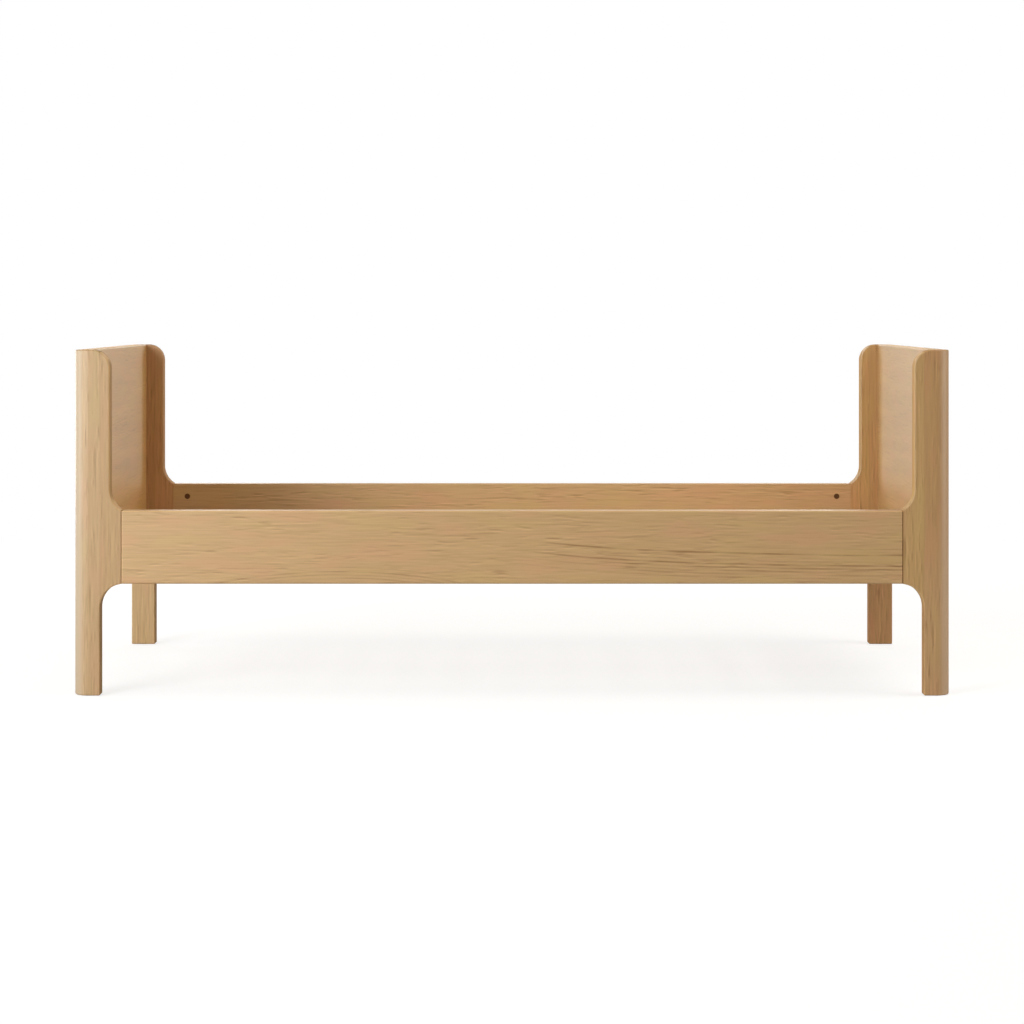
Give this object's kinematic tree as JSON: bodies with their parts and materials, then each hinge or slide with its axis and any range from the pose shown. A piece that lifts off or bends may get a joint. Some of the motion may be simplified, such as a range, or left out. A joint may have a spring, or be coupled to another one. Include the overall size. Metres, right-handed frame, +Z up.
{
  "type": "kids bed",
  "caption": "Low oak single bed with U-shaped ends: flat end panels, rounded corners, short coved wings and straight legs, joined by plain side rails, with a lift-out slatted base.",
  "frame": {"origin": "floor level under the centre of the bed", "axes": "+X along the bed towards the foot end, +Y from the front rail to the back rail, +Z up"},
  "size_m": [2.09, 0.99, 0.824],
  "materials": {
    "oak": "clear matt lacquer over light oak",
    "ledge_pine": "planed pine, unfinished",
    "beech": "fluted beech dowel, unfinished",
    "slat_birch": "sanded birch, unfinished",
    "screw_steel": "zinc plated",
    "cam_zinc": "dark bronze die cast, satin",
    "bolt_steel": "bright zinc plated",
    "insert_brass": "plain turned brass",
    "glide_nylon": "moulded nylon",
    "webbing": "woven cotton tape",
    "staple_steel": "galvanised wire"
  },
  "bodies": {
    "bed_frame": {"head_end_panel": "oak", "foot_end_panel": "oak", "corner_post_head_front": "oak", "corner_post_head_back": "oak", "corner_post_foot_front": "oak", "corner_post_foot_back": "oak", "wing_board_head_front": "oak", "wing_board_head_back": "oak", "wing_board_foot_front": "oak", "wing_board_foot_back": "oak", "side_rail_front": "oak", "side_rail_back": "oak", "slat_ledge_front": "ledge_pine", "slat_ledge_back": "ledge_pine", "end_cleat_head": "ledge_pine", "end_cleat_foot": "ledge_pine", "ledge_screws": "screw_steel", "cleat_screws": "screw_steel", "cam_locks": "cam_zinc", "cam_bolts": "bolt_steel", "threaded_inserts": "insert_brass", "rail_dowels": "beech", "head_panel_dowels": "beech", "foot_panel_dowels": "beech", "leg_glides": "glide_nylon"},
    "slat_base": {"slat_01": "slat_birch", "slat_02": "slat_birch", "slat_03": "slat_birch", "slat_04": "slat_birch", "slat_05": "slat_birch", "slat_06": "slat_birch", "slat_07": "slat_birch", "slat_08": "slat_birch", "slat_09": "slat_birch", "slat_10": "slat_birch", "slat_11": "slat_birch", "slat_12": "slat_birch", "slat_13": "slat_birch", "slat_14": "slat_birch", "slat_15": "slat_birch", "slat_16": "slat_birch", "slat_tape_front": "webbing", "slat_tape_back": "webbing", "tape_staples": "staple_steel"}
  },
  "joints": [
    {"name": "slat_base_lift", "type": "slide", "parent": "bed_frame", "child": "slat_base", "axis": [0, 0, 1], "range_m": [0, 0.6]}
  ]
}
